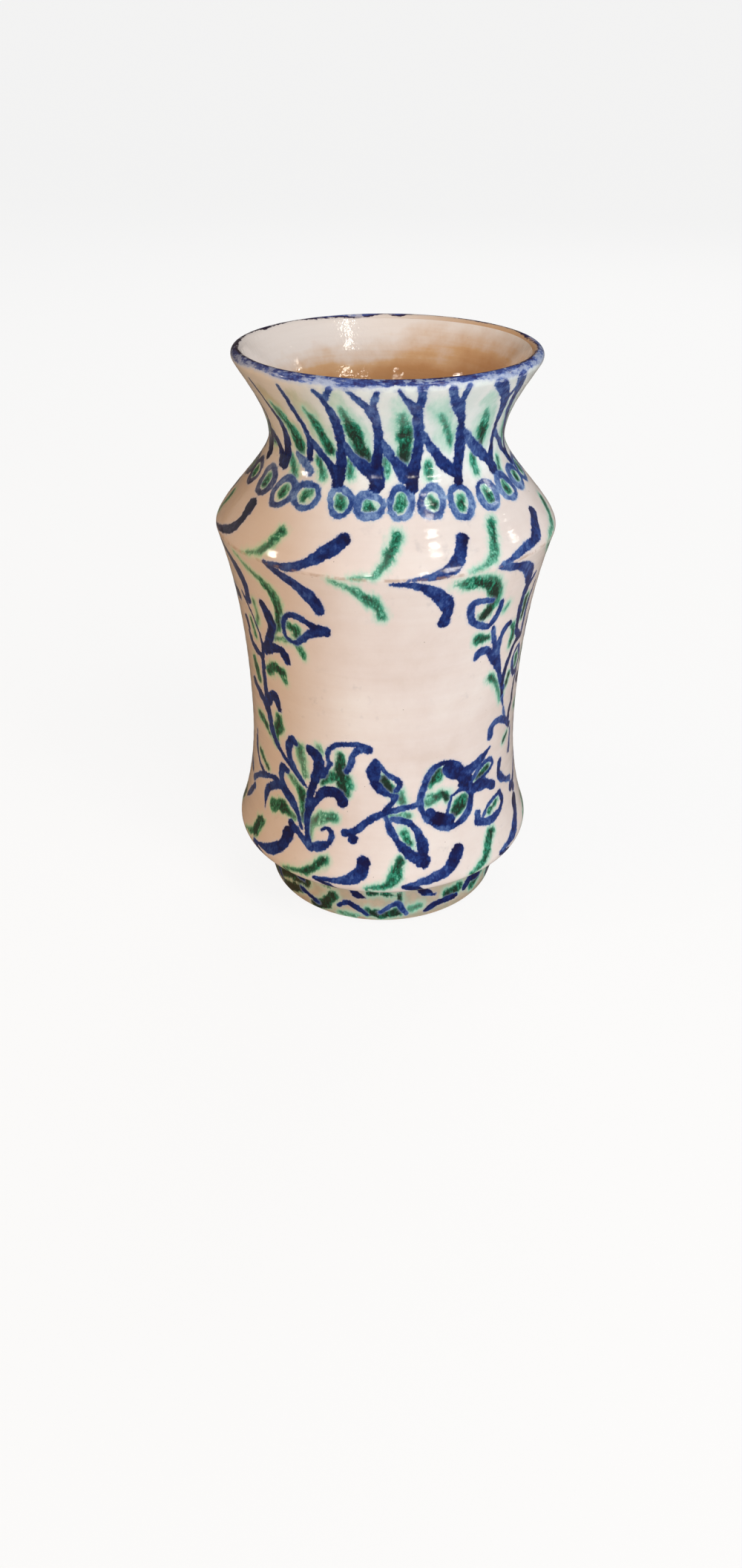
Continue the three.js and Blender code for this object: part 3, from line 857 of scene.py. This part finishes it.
class Shader:
    """A node material. Any input takes a number, a colour or another node's output."""

    def __init__(self, name):
        self.material = bpy.data.materials.new(name)
        self.material.use_nodes = True
        self.tree = self.material.node_tree
        self.principled = self.tree.nodes["Principled BSDF"]
        self.place = self.node("TexCoord", {}, "Object")

    def node(self, kind, inputs, output=0, **settings):
        node = self.tree.nodes.new("ShaderNode" + kind)
        for key, value in settings.items():
            setattr(node, key, value)
        for key, value in inputs.items():
            self.put(node.inputs[key], value)
        return node.outputs[output]

    def put(self, socket, value):
        if isinstance(value, bpy.types.NodeSocket):
            self.tree.links.new(value, socket)
        else:
            socket.default_value = colour(value) if isinstance(value, str) else value

    def maths(self, operation, a, b=0.0, c=0.0):
        return self.node("Math", {0: a, 1: b, 2: c}, operation=operation)

    def scaled(self, value, factor, shift=0.0):
        return self.maths("MULTIPLY_ADD", value, factor, shift)

    def swing(self, noise, size):
        """A noise made to swing about 0, over a range of this size."""
        return self.scaled(noise, size, -size / 2)

    def plus(self, *values):
        total = values[0]
        for value in values[1:]:
            total = self.maths("ADD", total, value)
        return total

    def times(self, a, b):
        return self.maths("MULTIPLY", a, b)

    def step(self, value, low, high):
        """0 at low and 1 at high, smooth between them. Low may be above high."""
        inputs = {"Value": value, "From Min": low, "From Max": high}
        return self.node("MapRange", inputs, interpolation_type="SMOOTHSTEP")

    def mix(self, share, a, b):
        return self.node("Mix", {0: share, 6: a, 7: b}, 2, data_type="RGBA")

    def noise(self, size, detail=3.0, roughness=0.55, vector=None):
        """Soft noise with features of about a size in mm."""
        inputs = {"Scale": 1 / (size * MM), "Detail": detail, "Roughness": roughness}
        inputs["Vector"] = vector or self.place
        return self.node("TexNoise", inputs, "Fac")

    def cells(self, size, output="Distance"):
        return self.node("TexVoronoi", {"Scale": 1 / (size * MM), "Vector": self.place}, output)

    def attribute(self, name):
        return self.node("Attribute", {}, "Fac", attribute_name=name)

    def stretched(self, x, y, z):
        return self.node("Mapping", {"Vector": self.place, "Scale": (x, y, z)})

    def specks(self, size, share, radius):
        """Round spots in a share of the cells of a size in mm."""
        spot = self.step(self.cells(size), radius, radius * 0.6)
        pick = self.node("SeparateColor", {0: self.cells(size, "Color")}, 0)
        return self.times(spot, self.maths("LESS_THAN", pick, share))

    def axis(self, letter):
        return self.node("SeparateXYZ", {0: self.place}, letter)

    def ramp(self, value, *stops):
        node = self.tree.nodes.new("ShaderNodeValToRGB")
        elements = node.color_ramp.elements
        while len(elements) < len(stops):
            elements.new(0.5)
        for element, (position, text) in zip(elements, stops):
            element.position = position
            element.color = colour(text)
        self.put(node.inputs[0], value)
        return node.outputs[0]

    def finish(self, base, roughness, relief, depth):
        """Sets the surface. The relief is in mm, and depth says how strongly it is taken."""
        self.put(self.principled.inputs["Base Color"], base)
        self.put(self.principled.inputs["Roughness"], roughness)
        bump = self.node("Bump", {"Height": relief, "Distance": MM, "Strength": depth})
        self.put(self.principled.inputs["Normal"], bump)
        return self.material


def clay_colour(shader):
    grit = shader.noise(0.5, 4, 0.7)
    tone = shader.plus(shader.scaled(shader.noise(9), 0.7), shader.scaled(grit, 0.5, -0.1))
    return shader.ramp(tone, (0.2, "857060"), (0.5, "B5A18C"), (0.85, "D3C4B0")), grit


def clay():
    shader = Shader("biscuit")
    base, grit = clay_colour(shader)
    marks = shader.noise(1.2, 2, 0.5, shader.stretched(0.04, 0.04, 1))
    base = shader.mix(shader.specks(3.1, 0.25, 0.12), base, "5B3A28")
    relief = shader.plus(shader.scaled(grit, 0.18), shader.scaled(marks, 0.2))
    return shader.finish(base, shader.scaled(grit, 0.2, 0.72), relief, 0.8)


# Colours of the fired pigments, from thin to thick
GREEN = ((0, "9BDACE"), (0.18, "62BDA9"), (0.38, "22967F"), (0.6, "066C55"), (0.82, "023F31"), (1, "011F18"))
# OLIVE: partly the greens' own olive tone, partly painted shade on the left side
OLIVE = ((0, "B9CBA0"), (0.18, "8FAE7E"), (0.36, "54875A"), (0.58, "1F5C37"), (0.8, "0A3A20"), (1, "041E10"))
BLUE = ((0, "B2C6E0"), (0.2, "7F9CC8"), (0.4, "45629E"), (0.6, "1A367A"), (0.8, "081A54"), (1, "0E0A38"))
# Cobalt as it looks in the painted shade of the far left side
BLUE_IN_LEFT_SHADE = ((0, "857C86"), (0.4, "4C4450"), (0.7, "2C242B"), (1, "120D12"))
LIP_BLUE = ((0.1, "A7B8DC"), (0.35, "6279B8"), (0.6, "37488A"), (0.8, "2B2860"), (1, "2A1C3C"))

SPECK = "4A3024"
THIN_COAT = "A27D5F"


def tin_glaze(name, worn):
    """The white coat with its pigments. Worn is how much of the lip's blue is rubbed through."""
    shader = Shader(name)
    scaled, swing, plus, times, step = shader.scaled, shader.swing, shader.plus, shader.times, shader.step
    mix, ramp, noise, specks = shader.mix, shader.ramp, shader.noise, shader.specks
    attribute = shader.attribute
    height = shader.axis("Z")
    slow = noise(60, 2)
    cloud = noise(14, 4, 0.6)
    fine = noise(0.7, 3, 0.6)
    ragged = noise(2.2, 3, 0.6)
    patches = noise(5.5, 3, 0.6)
    throw = noise(3.2, 2, 0.5, shader.stretched(0.03, 0.03, 1))
    flow = noise(1.0, 3, 0.65, shader.stretched(1, 1, 0.35))
    drift = noise(4.2, 3, 0.6, shader.stretched(1, 1, 0.3))

    # Painted shade: the left side, which lies in shade, is made warmer and browner in the coat and darker in
    # its pigments
    across = shader.axis("X")
    shaded_left = step(across, -0.005, -0.055)
    far_left_in_shade = step(across, -0.03, -0.062)

    # The coat itself: warm on the wall, cooler on the neck and foot; the foot is also darker, as painted
    # shade under the keel
    ground = ramp(
        plus(scaled(slow, 0.9), scaled(cloud, 0.5, -0.2)),
        (0.15, "D8C9C2"),
        (0.45, "E5DAD7"),
        (0.8, "EEE8E6"),
    )
    neck = step(plus(height, swing(cloud, 0.02)), 0.214, 0.236)
    foot = step(plus(height, swing(cloud, 0.008)), 0.025, 0.015)
    ground = mix(times(neck, 0.9), ground, ramp(cloud, (0.3, "DCECEE"), (0.7, "F2F9FB")))
    ground = mix(times(foot, 0.75), ground, ramp(patches, (0.36, "93AC95"), (0.64, "CABCA6")))
    ground = mix(scaled(throw, 0.22, -0.04), ground, "CDB3A2")

    smudge = times(step(slow, 0.48, 0.6), step(patches, 0.58, 0.74))
    ground = mix(times(smudge, 0.22), ground, "A39FA6")

    # Copper green: a feathered core that bleeds into the coat, over a thin wash
    mint = ramp(drift, (0.35, "93D0BF"), (0.65, "C4E5DA"))
    sage = ramp(drift, (0.35, "A3AE84"), (0.65, "C3BC95"))
    tint = step(plus(attribute("wash"), swing(drift, 7)), 1.6, -3.4)
    # On the left side the green wash turns sage: painted shade
    ground = mix(times(tint, 0.7), ground, mix(scaled(shaded_left, 0.75), mint, sage))
    green_edge = plus(
        attribute("copper"),
        swing(drift, 5.0),
        swing(ragged, 2.4),
        swing(flow, 3.0),
    )
    green_load = attribute("copper_load")
    halo = times(step(green_edge, 3.4, -0.6), 0.5)
    body = step(green_edge, 1.3, -0.9)
    core = times(step(green_edge, 0.2, -2.4), step(drift, 0.36, 0.6))
    grain = plus(scaled(step(ragged, 0.36, 0.64), 0.3), scaled(step(flow, 0.36, 0.64), 0.4, -0.35))
    tone = plus(times(body, scaled(green_load, 0.5, 0.24)), times(core, 0.42), times(body, grain))
    # Greens turn partly olive off the neck, and more so on the left side as painted shade
    olive_and_left_shade = times(scaled(neck, -0.6, 1), scaled(shaded_left, 0.65, 0.22))
    green = mix(olive_and_left_shade, ramp(tone, *GREEN), ramp(tone, *OLIVE))
    # Painted shade: greens darken on the foot's left side
    foot_left_shade = times(times(foot, shaded_left), step(patches, 0.36, 0.56))
    green = mix(times(foot_left_shade, 0.75), green, "332C16")
    # Painted shade: the coat turns tan on the left side
    ground = mix(times(shaded_left, 0.58), ground, "C09663")
    # Painted shade: the undercut under the keel is darkened to tan
    under = step(height, 0.034, 0.024)
    ground = mix(times(under, 0.4), ground, "A58D74")
    # On the left side the pale halo turns sage: painted shade
    pale = mix(scaled(shaded_left, 0.8), "A9D9C8", "BBC39B")
    ground = mix(halo, ground, pale)
    laid = shader.node("Clamp", {0: scaled(green_load, 0.5, 0.78)})
    ground = mix(times(body, times(laid, 0.98)), ground, green)

    # Cobalt blue: crisp, with a pale bitten edge and darker pools
    blue_edge = plus(
        attribute("cobalt"),
        swing(patches, 2.4),
        swing(ragged, 1.3),
        swing(flow, 1.6),
    )
    blue_load = attribute("cobalt_load")
    bleed = times(step(blue_edge, 1.3, 0.0), 0.22)
    cover = step(blue_edge, 0.22, -0.38)
    depth = step(blue_edge, 0.2, -0.7)
    streak = plus(
        scaled(step(patches, 0.3, 0.7), 0.28),
        scaled(step(ragged, 0.34, 0.66), 0.1),
        scaled(step(flow, 0.34, 0.66), 0.12, -0.28),
    )
    tone = plus(scaled(blue_load, 0.55), scaled(depth, 0.34), streak)
    blue_in_left_shade = ramp(tone, *BLUE_IN_LEFT_SHADE)
    high = step(height, 0.17, 0.2)
    # Painted shade: the blue darkens on the left side
    blue = mix(times(shaded_left, 0.45), ramp(tone, *BLUE), "0C1234")
    # Painted shade: high on the far left the blue turns brown-black
    blue = mix(times(far_left_in_shade, times(high, 0.8)), blue, blue_in_left_shade)
    if worn:
        # On the lip: blue rubbed through on the outside, and the pale coat of the inside over the crest
        gaps = plus(noise(7, 4, 0.7, shader.stretched(0.7, 0.7, 3)), scaled(ragged, 0.35, -0.17))
        lower = step(blue_load, 0.5, 0.0)
        rubbed = step(plus(gaps, scaled(lower, 0.12)), 0.53, 0.61)
        cover = times(cover, scaled(rubbed, -worn, 1.0))
        tone = plus(tone, scaled(gaps, -1.5, 0.75))
        # On the lip's far left too the blue turns brown-black: painted shade
        blue = mix(times(far_left_in_shade, 0.5), ramp(tone, *LIP_BLUE), blue_in_left_shade)
        bleed = step(blue_edge, 2.0, -0.8)
        flat = shader.node("VectorMath", {0: shader.place, 1: (1, 1, 0)}, operation="MULTIPLY")
        radius = shader.node("VectorMath", {0: flat}, "Value", operation="LENGTH")
        inner = step(radius, 0.0648, 0.0636)
        # The inside of the lip turns tan towards the right side: partly painted shade, as in the mouth
        white = mix(step(across, -0.015, 0.055), "EAE3DF", "CDA882")
        white = mix(scaled(throw, 0.4, -0.12), white, THIN_COAT)
        ground = mix(inner, ground, white)
        bleed = times(bleed, scaled(inner, -0.6, 0.7))
    ground = mix(bleed, ground, "A9B6D0")
    ground = mix(cover, ground, blue)

    # The coat runs thin over the ridge
    off_ridge = shader.maths("ABSOLUTE", scaled(height, 1000, -RIDGE[1] - 0.2))
    thin = times(step(off_ridge, 1.1, 0.2), step(patches, 0.42, 0.6))
    ground = mix(times(thin, 0.5), ground, "A58368")

    # Kiln specks, pinholes and the bare clay at the foot
    dark = specks(4.3, 0.16, 0.055)
    pin = specks(7.7, 0.35, 0.045)
    ground = mix(times(dark, 0.8), ground, SPECK)
    ground = mix(times(pin, 0.6), ground, "8C6A50")
    bare_edge = plus(attribute("bare"), swing(ragged, 0.8))
    bare = step(bare_edge, 0.12, -0.12)
    rim = times(step(bare_edge, 0.9, 0.1), 0.45)
    ground = mix(rim, ground, "B3A58F")
    clay_tone, grit = clay_colour(shader)
    ground = mix(bare, ground, clay_tone)

    relief = plus(
        scaled(cover, 0.05),
        scaled(body, 0.03),
        scaled(noise(5, 2), 0.12),
        scaled(ragged, 0.07),
        scaled(fine, 0.03),
        scaled(pin, -0.18),
        scaled(throw, 0.05),
        scaled(bare, -0.25),
        times(bare, scaled(grit, 0.2)),
    )
    gloss = plus(scaled(cloud, 0.1, 0.04), scaled(cover, 0.03), scaled(bare, 0.6))
    return shader.finish(ground, gloss, relief, 0.5)


def inner_coat():
    """The coat inside: pale under the lip, and browner and thinner towards the floor; the brown reaches
    higher on the right side, partly as painted shade.
    """
    shader = Shader("inner_glaze")
    scaled, swing, plus, times = shader.scaled, shader.swing, shader.plus, shader.times
    mix, noise, specks = shader.mix, shader.noise, shader.specks
    cloud = noise(22, 4, 0.6)
    throw = noise(5, 3, 0.6, shader.stretched(0.05, 0.05, 1))
    fine = noise(0.8, 3, 0.6)
    # The level falls towards the right side, so the brown reaches higher there: partly painted shade
    level = plus(
        shader.axis("Z"),
        scaled(shader.axis("X"), -0.1),
        swing(cloud, 0.018),
        swing(throw, 0.011),
    )
    brown_below, pale_above = 0.221, 0.2655
    share = shader.node("MapRange", {"Value": level, "From Min": brown_below, "From Max": pale_above})
    base = shader.ramp(
        share,
        (0.0, "8E643C"),
        (0.35, "A47549"),
        (0.62, "BE8E60"),
        (0.76, "D0A980"),
        (0.86, "DDCBBD"),
        (0.97, "E9E2DE"),
    )
    base = mix(scaled(throw, 0.3, -0.1), base, THIN_COAT)
    base = mix(times(specks(4.1, 0.2, 0.06), 0.8), base, SPECK)
    relief = plus(
        scaled(throw, 0.35),
        scaled(cloud, 0.25),
        scaled(noise(3.2, 2), 0.4),
        scaled(fine, 0.03),
    )
    return shader.finish(base, scaled(cloud, 0.08, 0.04), relief, 0.45)


biscuit = clay()
painted_glaze = tin_glaze("painted_glaze", 0.0)
lip_glaze = tin_glaze("lip_glaze", 0.5)
inner_glaze = inner_coat()


# Pieces

def paint(piece, first, rows):
    """Gives a coat's front its rows of the painting, and its back none."""
    values = {
        "cobalt": (cobalt.edge, FAR),
        "cobalt_load": (cobalt.load, 0),
        "copper": (copper.edge, FAR),
        "copper_load": (copper.load, 0),
        "wash": (wash.edge, FAR),
        "bare": (bare_clay, FAR),
    }
    for name, (grid, blank) in values.items():
        filled = np.full(len(piece.data.vertices), blank, np.float32)
        filled[: rows * COLUMNS] = grid[first : first + rows].ravel()
        piece.data.attributes.new(name, "FLOAT", "POINT").data.foreach_set("value", filled)


bands = [
    ("foot_coat", "painted_glaze", "foot_glaze", painted_glaze),
    ("lower_wall_coat", "painted_glaze", "body_glaze", painted_glaze),
    ("upper_wall_coat", "painted_glaze", "body_glaze", painted_glaze),
    ("shoulder_coat", "painted_glaze", "neck_glaze", painted_glaze),
    ("neck_coat", "painted_glaze", "neck_glaze", painted_glaze),
    ("lip_coat", "lip_glaze", "lip_glaze", lip_glaze),
]
first = 0
for (name, slot, node, material), rows in zip(bands, band_rows):
    paint(coat(name, outside, rows, slot, node, material), first, len(rows))
    first += len(rows)

mouth_end = inside.nearest(point(RIDGE[0] - SHOULDER_THICKNESS, RIDGE[1]))
mouth_rows = rows_between(0, mouth_end, MOUTH_PITCH)
inside_rows = rows_between(mouth_end, inside.length, INSIDE_PITCH)
coat("mouth_coat", inside, mouth_rows, "inner_glaze", "inner_glaze", inner_glaze)
coat("inside_coat", inside, inside_rows, "inner_glaze", "inner_glaze", inner_glaze, pole=True)

# Bare clay of the standing ring, with its softened edges
ring_inner = FOOT_STANDING_RADIUS - GLAZE_BEHIND - FOOT_RING_WIDTH
ring_under = Outline(
    [[
        point(GROOVE[0] - 2 * GLAZE_BEHIND, GROOVE[1] - 2),
        point(FOOT_RADIUS - GLAZE_BEHIND, 0.45 * FOOT_BAND_HEIGHT),
        point(FOOT_STANDING_RADIUS - 0.75, 0.7),
        point(FOOT_STANDING_RADIUS - 1.6, 0.05),
        point(ring_inner + RECESS_DRAFT + 1.4, 0.05),
        point(ring_inner + RECESS_DRAFT, 1.2),
        point(ring_inner + 0.1, RECESS_DEPTH + 2.5),
    ][::-1]],
    0.45,
)
ring_rows = rows_between(0, ring_under.length, RING_PITCH)
ring_depth = np.maximum(unevenness(ring_rows) - 0.2, 0) * 0.8
ring_front = around(ring_under, ring_rows, ring_depth)
ring_back = around(ring_under, ring_rows[::-10], ring_depth[::-10] + 1.5)
turned("foot_ring_clay", ring_front, ring_back, "biscuit", "foot_ring", biscuit)

for name in ("lower_body", "shoulder_and_neck"):
    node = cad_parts[name]
    node.data.materials.clear()
    node.data.materials.append(biscuit)


# Floor, light and camera

def stage_floor():
    """A pale sweep: floor, curved corner and backdrop in one sheet."""
    wide, deep, bend_radius, tall = 6.0, 5.0, 2.0, 6.0  # metres
    mirrored_grey = "82786E"
    whitened = 0.86  # share of plain white in what the camera sees
    turn = np.linspace(0, math.pi / 2, 25)
    line = [(-deep, 0.0)]
    line += [(deep + bend_radius * math.sin(a), bend_radius * (1 - math.cos(a))) for a in turn]
    line.append((deep + bend_radius, tall))
    points = [(x, y, z) for y, z in line for x in (-wide, wide)]
    faces = [(2 * k, 2 * k + 1, 2 * k + 3, 2 * k + 2) for k in range(len(line) - 1)]
    mesh = bpy.data.meshes.new("floor")
    mesh.from_pydata(points, [], faces)
    mesh.shade_smooth()
    shader = Shader("floor")
    path = shader.tree.nodes.new("ShaderNodeLightPath")
    base = shader.mix(shader.scaled(shader.noise(400), 0.3), "EDEBE8", "F4F2F0")
    base = shader.mix(path.outputs["Is Glossy Ray"], base, mirrored_grey)
    shader.finish(base, 0.9, shader.noise(3), 0.02)
    white = shader.node("Emission", {"Color": (1, 1, 1, 1), "Strength": 1.0})
    share = shader.scaled(path.outputs["Is Camera Ray"], whitened)
    shown = shader.node("MixShader", {0: share, 1: shader.principled.outputs[0], 2: white})
    shader.put(shader.tree.nodes["Material Output"].inputs["Surface"], shown)
    mesh.materials.append(shader.material)
    floor = bpy.data.objects.new("floor", mesh)
    bpy.context.scene.collection.objects.link(floor)


def area_light(name, place, target, size, power, tint=(1, 1, 1), mirrored=True):
    light = bpy.data.lights.new(name, "AREA")
    light.shape = "ELLIPSE" if mirrored else "RECTANGLE"
    light.size, light.size_y = size
    light.energy = power
    light.color = tint
    holder = bpy.data.objects.new(name, light)
    holder.location = place
    aim = np.array(target) - np.array(place)
    holder.rotation_euler = Vector(aim).to_track_quat("-Z", "Y").to_euler()
    holder.visible_glossy = mirrored
    bpy.context.scene.collection.objects.link(holder)


def camera():
    """The photograph's view: its focal length in pixels, and where the camera stood."""
    photo_height_px = 2114
    focal_px = 1531.5
    sensor = 36.0
    place = (0, -0.51104, 0.37578)
    pitch, roll, yaw = (math.radians(a) for a in (32.839, -0.207, 0.705))
    data = bpy.data.cameras.new("camera")
    data.sensor_fit = "VERTICAL"
    data.sensor_height = sensor
    data.lens = focal_px / photo_height_px * sensor
    holder = bpy.data.objects.new("camera", data)
    side = np.array([math.cos(yaw), math.sin(yaw), 0])
    ahead = np.array([-math.sin(yaw), math.cos(yaw), 0])
    down = np.array([0, 0, -1])
    forward = math.cos(pitch) * ahead + math.sin(pitch) * down
    up = math.sin(pitch) * ahead - math.cos(pitch) * down
    right = math.cos(roll) * side - math.sin(roll) * up
    top = math.sin(roll) * side + math.cos(roll) * up
    matrix = np.eye(4)
    matrix[:3, :3] = np.stack([right, top, -forward], 1)
    matrix[:3, 3] = place
    holder.matrix_world = Matrix(matrix.tolist())
    bpy.context.scene.collection.objects.link(holder)
    bpy.context.scene.camera = holder


stage_floor()

# Large soft lamps, which the glaze doesn't mirror
WARM = (1, 0.6, 0.26)
area_light("key", (1.05, -1.1, 1.75), (0, 0, 0.16), (1.1, 1.1), 13.4, mirrored=False)
area_light("fill", (0.55, -2.1, 0.85), (0, 0, 0.18), (1.2, 0.9), 14, mirrored=False)
area_light("warm_side", (-1.6, -0.75, 0.8), (0, 0, 0.15), (0.8, 0.8), 8, WARM, mirrored=False)
area_light("back", (0.5, 1.9, 1.5), (0, 0, 0.15), (1.4, 1.0), 12, mirrored=False)

# Small lamps that give the highlights, each by its turn and rise as seen from the shoulder
LAMP_AWAY = 1.8
LAMP_CENTRE = 0.22
LAMP_TINT = (1, 0.93, 0.82)
for name, turn, rise, size, power in (
    ("window", 45, 51, (0.14, 0.16), 1.5),
    ("strip_right", 46, 28, (0.4, 0.12), 3.0),
    ("lamp_front_right", 26, 27, (0.07, 0.07), 1.0),
    ("lamp_front_left", -11, 28, (0.07, 0.07), 1.0),
    ("lamp_left", -82, 23, (0.14, 0.1), 2.2),
    ("lamp_right", 104, 26, (0.07, 0.07), 0.5),
    ("lamp_low", 42, 1, (0.06, 0.12), 0.8),
):
    turn, rise = math.radians(turn), math.radians(rise)
    level, up = point(math.cos(rise), math.sin(rise)) * LAMP_AWAY
    place = (level * math.sin(turn), -level * math.cos(turn), LAMP_CENTRE + up)
    area_light(name, place, (0, 0, 0.2), size, power, LAMP_TINT)
camera()

# World: a weak even light, and pale where the camera sees it
WORLD_LIGHT = 0.26
WORLD_SEEN = 0.93
world = bpy.data.worlds.new("world")
world.use_nodes = True
background = world.node_tree.nodes["Background"]
background.inputs["Color"].default_value = (1, 0.98, 0.96, 1)
path = world.node_tree.nodes.new("ShaderNodeLightPath")
strength = world.node_tree.nodes.new("ShaderNodeMapRange")
strength.inputs["To Min"].default_value = WORLD_LIGHT
strength.inputs["To Max"].default_value = WORLD_SEEN
world.node_tree.links.new(path.outputs["Is Camera Ray"], strength.inputs["Value"])
world.node_tree.links.new(strength.outputs["Result"], background.inputs["Strength"])
bpy.context.scene.world = world
bpy.context.scene.view_settings.view_transform = "Standard"
